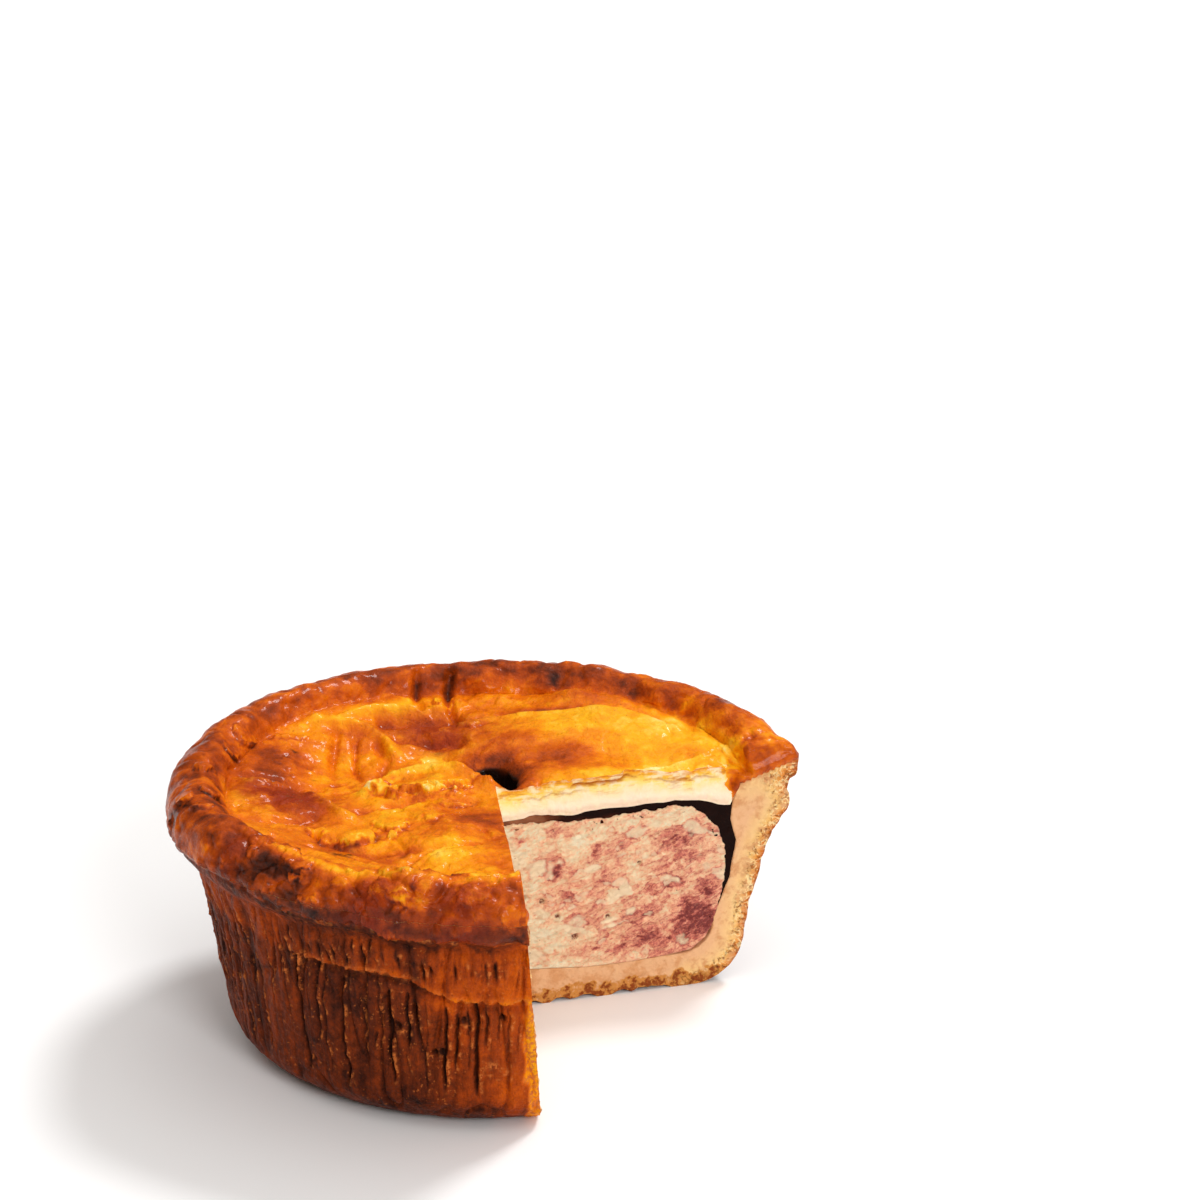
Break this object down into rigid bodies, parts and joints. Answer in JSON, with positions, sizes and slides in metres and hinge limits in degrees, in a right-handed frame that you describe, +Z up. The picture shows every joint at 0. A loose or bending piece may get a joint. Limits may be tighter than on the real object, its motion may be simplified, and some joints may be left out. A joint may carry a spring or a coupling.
{
  "type": "pork pie",
  "caption": "Round raised pork pie with a wedge cut out, showing the pork filling, jelly layer and pale inner crust under a browned lid and rolled rim.",
  "frame": {"origin": "on the table under the middle of the whole pie, the wedge's space included", "axes": "+Z is up through the lid; the wedge's space faces +X and -Y; +Y is the uncut back of the pie"},
  "size_m": [0.1592, 0.16, 0.0697],
  "materials": {
    "crust_case": "browned hot-water crust, dry and cracked, pale and crumbly where cut",
    "crust_lid": "egg-washed golden crust, blistered and flaky, glossy in places",
    "pork_filling": "moist chopped pork, pink with pale fat and dark specks",
    "jelly": "set savoury jelly, dark brown, wet and glossy"
  },
  "bodies": {
    "root": {"crust_case": "crust_case", "crust_lid": "crust_lid", "pork_filling": "pork_filling", "jelly": "jelly"}
  },
  "joints": []
}
